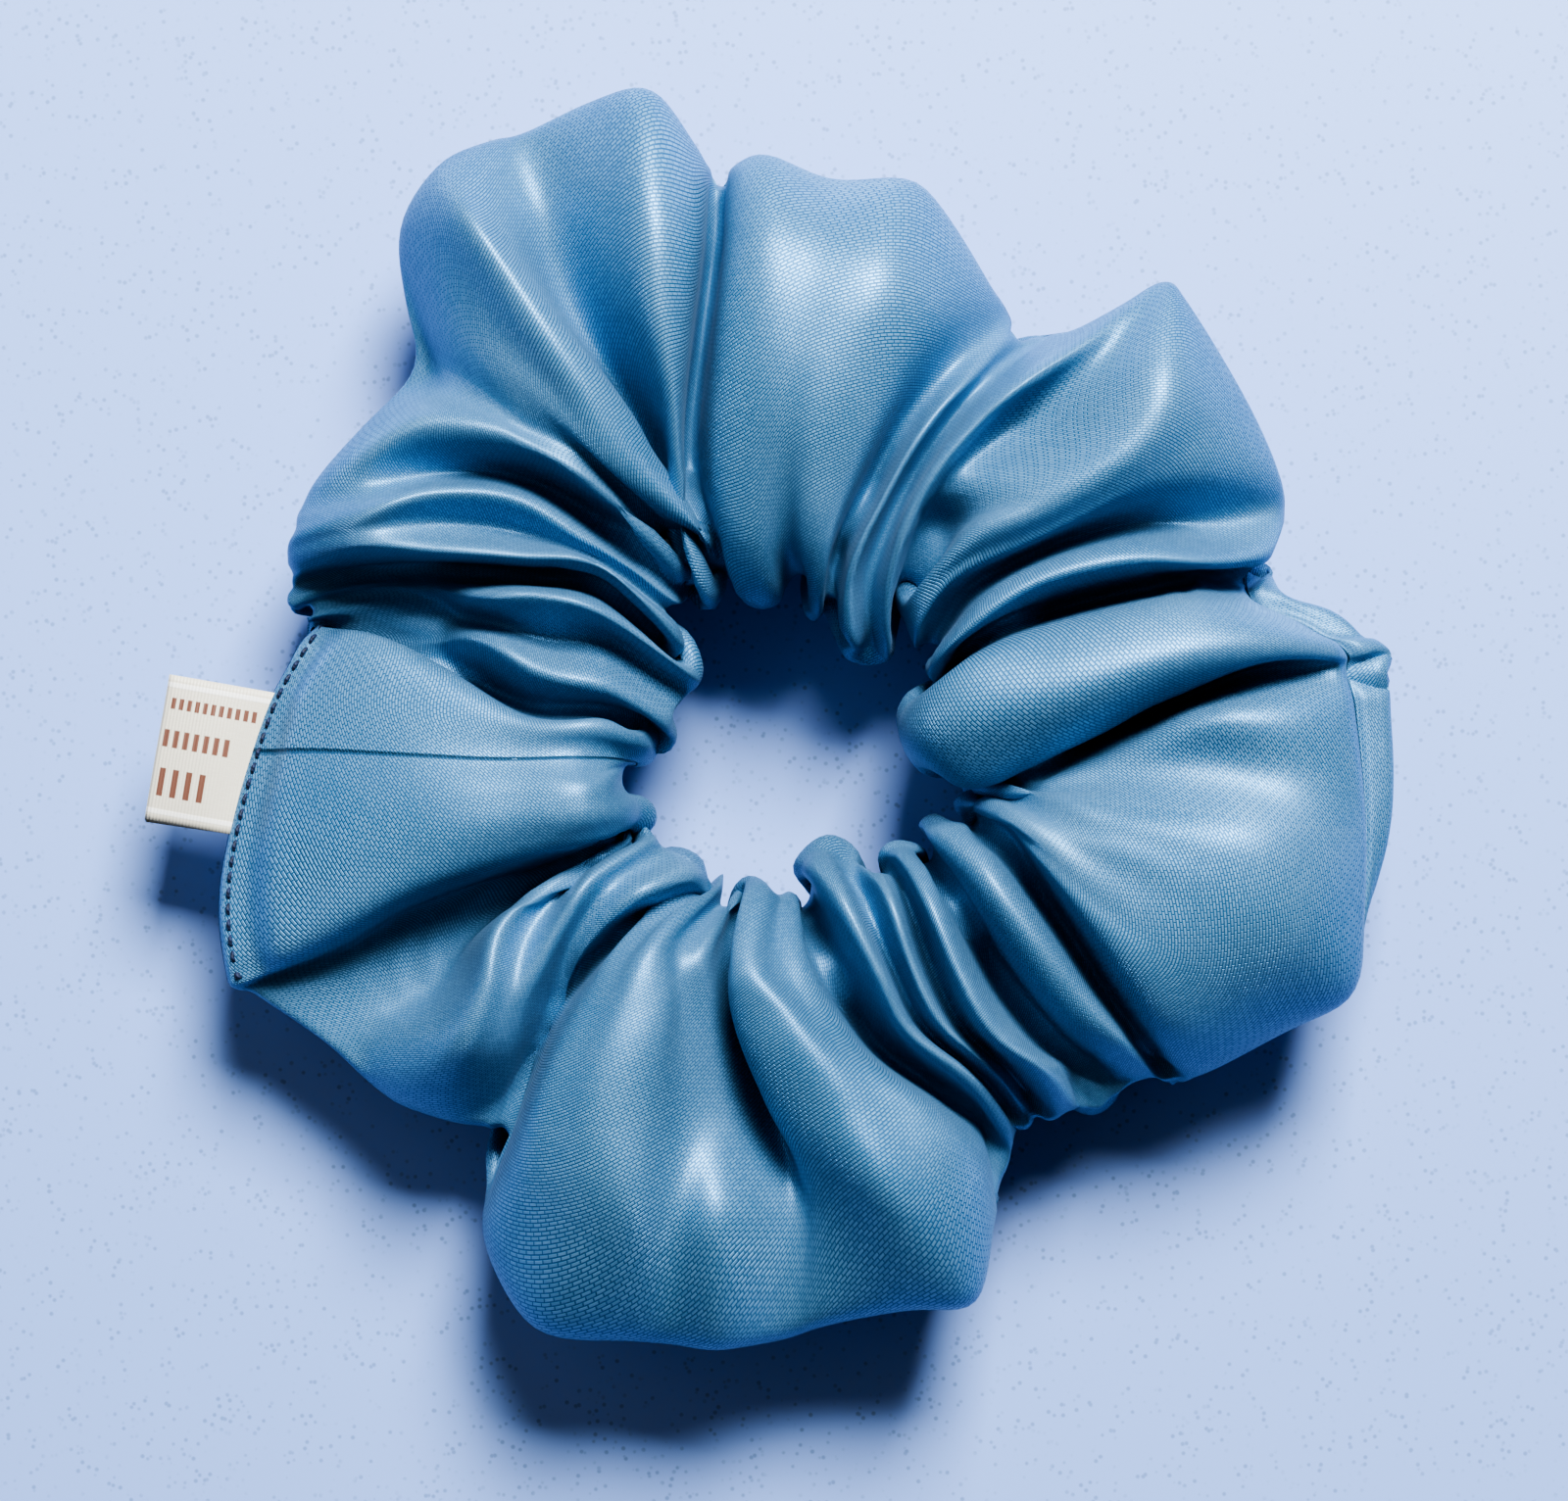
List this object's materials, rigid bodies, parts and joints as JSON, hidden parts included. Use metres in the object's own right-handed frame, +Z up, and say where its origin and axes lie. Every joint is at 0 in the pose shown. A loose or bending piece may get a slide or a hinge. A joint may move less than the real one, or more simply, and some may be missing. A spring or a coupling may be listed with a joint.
{
  "type": "hair scrunchie",
  "caption": "Gathered satin hair scrunchie: a blue fabric tube puckered over a hidden elastic loop, with a folded ribbon label sewn into its closing seam.",
  "frame": {"origin": "centre of the relaxed hair opening, at half the height of the scrunchie", "axes": "+Z up along the hair opening, away from the flattened underside that it lies on; +X from the label's side towards the side that is pulled; +Y the direction of the tallest lobes"},
  "size_m": [0.1295, 0.1289, 0.033],
  "materials": {
    "satin": "polyester satin, smooth float face outwards, soft sheen",
    "elastic": "white braided flat elastic",
    "blue_thread": "matching spun polyester thread",
    "navy_thread": "dark spun polyester thread",
    "ribbon": "cream woven satin ribbon with printed brown bars"
  },
  "bodies": {
    "held_side": {"casing_held_half": "satin", "elastic_held_half": "elastic", "elastic_join_stitches": "navy_thread", "long_seam_held_half": "blue_thread", "cross_seam_stitches": "blue_thread", "closing_stitches": "navy_thread", "closing_backtack": "navy_thread", "label_sewn_ends": "ribbon"},
    "pulled_side": {"casing_pulled_half": "satin", "elastic_pulled_half": "elastic", "long_seam_pulled_half": "blue_thread"},
    "label": {"ribbon_label": "ribbon"}
  },
  "joints": [
    {"name": "stretch", "type": "slide", "parent": "held_side", "child": "pulled_side", "axis": [1, 0, 0], "range_m": [0, 0.075], "stiffness_N_per_m": 60},
    {"name": "label_flap", "type": "hinge", "parent": "held_side", "child": "label", "pos_m": [-0.0573, -0.0006, 0], "axis": [0.1736, 0.9848, 0], "range_deg": [-25, 80], "stiffness_Nm_per_rad": 0.0001}
  ]
}
